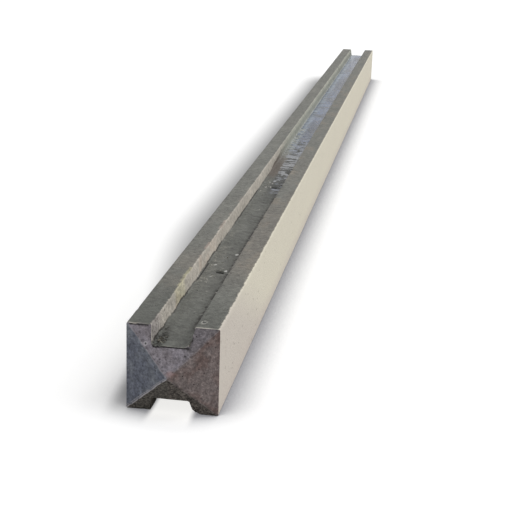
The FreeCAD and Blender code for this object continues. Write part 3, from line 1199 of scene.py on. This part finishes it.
def water_material():
    """Shallow water over grey concrete, with a clear surface: dark, with blue tints that are
    partly painted reflection of the sky.
    """
    made, tree, shader, place = new_material("rain_water")
    patch = cloud(tree, place, 0.05, 4.0, 0.65, (1.0, 0.35, 1.0))
    dashes = cloud(tree, place, 0.016, 4.0, 0.7, (0.45, 1.0, 1.0))
    colour = mixed(tree, between(tree, patch, 0.38, 0.62), paint(40, 53, 78),
                   paint(92, 108, 138))
    spot = node(tree, "ShaderNodeSeparateXYZ", {0: place}).outputs
    along = maths(tree, "SUBTRACT", spot["Y"], tip_y)
    colour = laid(tree, colour, paint(140, 152, 166),
                  between(tree, spot["X"], -0.002, -0.014), 0.75)
    colour = laid(tree, colour, paint(34, 42, 60), between(tree, dashes, 0.50, 0.38), 0.8)
    colour = laid(tree, colour, paint(134, 136, 140), between(tree, along, 1.35, 1.05))
    tree.links.new(colour, shader.inputs["Base Color"])
    shader.inputs["Roughness"].default_value = 0.22
    shader.inputs["IOR"].default_value = 1.33
    shader.inputs["Specular IOR Level"].default_value = 0.28
    bumped(tree, shader, dashes, depth=0.0016)
    return made


water = bpy.data.objects.new("rain_water", lay_water())
bpy.context.collection.objects.link(water)
water.data.materials.append(water_material())
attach(water, "root")


# ---- Loose crumbs ----------------------------------------------------------------------
# Crumbs of mortar and grit broke off the slot floor's front corner and lie beside it, and a
# few pale grains of sand lie further back in the slot.

def crumb_tree(material):
    """Scatters small rough stones over the piece's own flat patches."""
    tree = bpy.data.node_groups.new("crumb_scatter", "GeometryNodeTree")
    relief_input(tree, "Geometry", "NodeSocketGeometry")
    for name in ("Crumbs per Square Metre", "Smallest Crumb", "Largest Crumb"):
        relief_input(tree, name, "NodeSocketFloat")
    relief_input(tree, "Seed", "NodeSocketInt")
    tree.interface.new_socket("Geometry", in_out="OUTPUT", socket_type="NodeSocketGeometry")
    given = node(tree, "NodeGroupInput").outputs
    points = node(tree, "GeometryNodeDistributePointsOnFaces",
                  {"Mesh": given["Geometry"], "Density": given["Crumbs per Square Metre"],
                   "Seed": given["Seed"]}).outputs["Points"]
    stone = node(tree, "GeometryNodeMeshIcoSphere", {"Radius": 1.0, "Subdivisions": 2})
    stone = stone.outputs["Mesh"]
    stone_place = node(tree, "GeometryNodeInputPosition").outputs[0]
    dented = node(tree, "ShaderNodeTexNoise", {"Vector": stone_place, "Scale": 1.3})
    push = scaled(tree, vector_sum(tree, "SUBTRACT", dented.outputs["Color"],
                                   (0.5, 0.5, 0.5)), 0.9)
    stone = node(tree, "GeometryNodeSetPosition", {"Geometry": stone, "Offset": push}).outputs[0]
    size = node(tree, "FunctionNodeRandomValue",
                {2: given["Smallest Crumb"], 3: given["Largest Crumb"],
                 "Seed": given["Seed"]}, data_type="FLOAT").outputs[1]
    turn = node(tree, "FunctionNodeRandomValue",
                {0: (0.0, 0.0, 0.0), 1: (math.tau, math.tau, math.tau),
                 "Seed": given["Seed"]}, data_type="FLOAT_VECTOR").outputs[0]
    turn = node(tree, "FunctionNodeEulerToRotation", {0: turn}).outputs[0]
    crumbs = node(tree, "GeometryNodeInstanceOnPoints",
                  {"Points": points, "Instance": stone, "Rotation": turn,
                   "Scale": size}).outputs[0]
    crumbs = node(tree, "GeometryNodeRealizeInstances", {0: crumbs}).outputs[0]
    crumbs = node(tree, "GeometryNodeSetMaterial",
                  {"Geometry": crumbs, "Material": material}).outputs[0]
    node(tree, "NodeGroupOutput", {0: crumbs})
    return tree


def crumb_material(name, dark, pale):
    """Broken mortar, each crumb with its own tone from its place."""
    made, tree, shader, place = new_material(name)
    tone = cloud(tree, place, 0.004, 1.0)
    colour = mixed(tree, between(tree, tone, 0.35, 0.65), dark, pale)
    finish_dull(tree, shader, colour, roughness=0.9)
    bumped(tree, shader, cloud(tree, place, 0.0008, 2.0), depth=0.0003)
    return made


def lay_crumbs(name, patches, sunk, material, crowding):
    """One piece of crumbs, on patches given by centre and half widths across and along."""
    places, quads = [], []
    for across, along, half_across, half_along in patches:
        first = len(places)
        for side, way in ((-1, -1), (1, -1), (1, 1), (-1, 1)):
            places.append((across + side * half_across, tip_y + along + way * half_along,
                           floor_z - sunk))
        quads.append([first, first + 1, first + 2, first + 3])
    mesh = bpy.data.meshes.new(name)
    mesh.from_pydata(places, [], quads)
    piece = bpy.data.objects.new(name, mesh)
    bpy.context.collection.objects.link(piece)
    tree = crumb_tree(material)
    finish_with(piece, tree, {"Crumbs per Square Metre": crowding, "Smallest Crumb": 0.0005,
                              "Largest Crumb": 0.0013, "Seed": 5})
    piece.data.name = name
    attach(piece, "root")
    return piece


dark_crumb = crumb_material("crumb_mortar", paint(66, 63, 58), paint(128, 124, 114))
pale_crumb = crumb_material("crumb_sand", paint(134, 132, 124), paint(180, 178, 170))
lay_crumbs("mortar_crumbs", [(-0.0150, 0.040, 0.0050, 0.010)], 0.0012, dark_crumb, 140000.0)
lay_crumbs("sand_grains", [(0.0082, 0.314, 0.0012, 0.003), (0.0067, 0.392, 0.0012, 0.003),
                           (-0.008, 0.330, 0.0100, 0.080), (-0.0105, 0.830, 0.0050, 0.060)],
           0.0006, pale_crumb, 9000.0)


# ---- Floor, light and camera -----------------------------------------------------------
# A pale floor with the post's shade and some light painted round it, a pale sky all round,
# and one broad soft lamp from the upper right.

floor_size = 80.0
floor_mesh = bpy.data.meshes.new("studio_floor")
edge = floor_size / 2
floor_mesh.from_pydata([(-edge, -edge, 0), (edge, -edge, 0), (edge, edge, 0), (-edge, edge, 0)],
                       [], [[0, 1, 2, 3]])
floor = bpy.data.objects.new("studio_floor", floor_mesh)
bpy.context.collection.objects.link(floor)


def floor_material():
    """White to the camera with the post's shade painted round it, and a calmer grey in the light
    that it throws on the post.
    """
    made, tree, shader, place = new_material("studio_floor")
    seen = node(tree, "ShaderNodeLightPath").outputs["Is Camera Ray"]
    # Painted contact shade: the floor greys where an occlusion reading finds the post near.
    near = node(tree, "ShaderNodeAmbientOcclusion", {"Distance": 0.07}, samples=8)
    shade = mixed(tree, between(tree, near.outputs["AO"], 0.35, 1.0), paint(128, 128, 134),
                  paint(255, 255, 255))
    # Painted shadow: the lamp stands to the right, so the post's shade is painted reaching out
    # to its left, further and further towards the foot.
    spot = node(tree, "ShaderNodeSeparateXYZ", {0: place}).outputs
    away = maths(tree, "SUBTRACT", -half_width, spot["X"])
    reach = between(tree, spot["Y"], tip_y, tip_y + 0.90, 0.030, 0.150)
    shade = laid(tree, shade, paint(118, 118, 120),
                 between(tree, maths(tree, "DIVIDE", away, reach), 1.0, 0.30),
                 between(tree, away, -0.02, 0.0),
                 stretch(tree, spot["Y"], tip_y - 0.02, tip_y + 0.10, foot_y - 0.20,
                         foot_y + 0.12), 0.90)
    # Painted light: the floor is lightened before the point, and made paler under the lower
    # slot, where it shows through the slot's open end.
    shade = laid(tree, shade, paint(255, 255, 255),
                 between(tree, spot["Y"], tip_y + 0.05, tip_y - 0.01), 0.60)
    under = product(tree, strip(tree, spot["X"], 0.0, 0.030, 0.020),
                    stretch(tree, spot["Y"], tip_y - 0.02, tip_y + 0.03, tip_y + 0.10,
                            tip_y + 0.30))
    shade = mixed(tree, under, shade, paint(247, 246, 244))
    colour = mixed(tree, seen, paint(190, 190, 190), scaled(tree, shade, 0.5))
    tree.links.new(colour, shader.inputs["Base Color"])
    shader.inputs["Roughness"].default_value = 1.0
    shader.inputs["Specular IOR Level"].default_value = 0.0
    # The floor glows to the camera in the colour of its painted shade and light, and more brightly
    # where light is painted under the lower slot.
    tree.links.new(shade, shader.inputs["Emission Color"])
    glow = maths(tree, "MULTIPLY", seen, maths(tree, "MULTIPLY_ADD", under, 0.26, 0.62))
    tree.links.new(glow, shader.inputs["Emission Strength"])
    return made


floor_mesh.materials.append(floor_material())

world = bpy.data.worlds.new("studio_sky")
world.use_nodes = True
sky_tree = world.node_tree
background = sky_tree.nodes["Background"]
light_path = node(sky_tree, "ShaderNodeLightPath")
bare = maths(sky_tree, "MAXIMUM", light_path.outputs["Is Camera Ray"],
             light_path.outputs["Is Glossy Ray"])
sky_strength = maths(sky_tree, "MULTIPLY_ADD", bare, 0.38, 0.62)
sky_tree.links.new(sky_strength, background.inputs["Strength"])
background.inputs["Color"].default_value = (1.0, 1.0, 1.0, 1.0)
bpy.context.scene.world = world

lamp_data = bpy.data.lights.new("soft_lamp", "SUN")
lamp_data.energy = 1.5
lamp_data.angle = math.radians(45)
lamp = bpy.data.objects.new("soft_lamp", lamp_data)
lamp_towards = Vector((0.72, 0.12, 0.72))
lamp.rotation_mode = "QUATERNION"
lamp.rotation_quaternion = lamp_towards.to_track_quat("Z", "Y")
bpy.context.collection.objects.link(lamp)

camera_data = bpy.data.cameras.new("camera")
camera_data.lens = 79.63
camera_place = (0.26351, tip_y - 1.13741, 0.54536)
camera = bpy.data.objects.new("camera", camera_data)
turn = math.radians(-8.4213)
look_down = math.radians(16.4830)
lean = math.radians(1.8846)
forward = Vector((math.sin(turn) * math.cos(look_down), math.cos(turn) * math.cos(look_down),
                  -math.sin(look_down)))
level = Vector((math.cos(turn), -math.sin(turn), 0.0))
rightwards = math.cos(lean) * level + math.sin(lean) * level.cross(forward)
camera.matrix_world = Matrix.Translation(camera_place) @ Matrix(
    (rightwards, rightwards.cross(forward), -forward)).transposed().to_4x4()
bpy.context.collection.objects.link(camera)
bpy.context.scene.camera = camera
bpy.context.scene.view_settings.view_transform = "Standard"
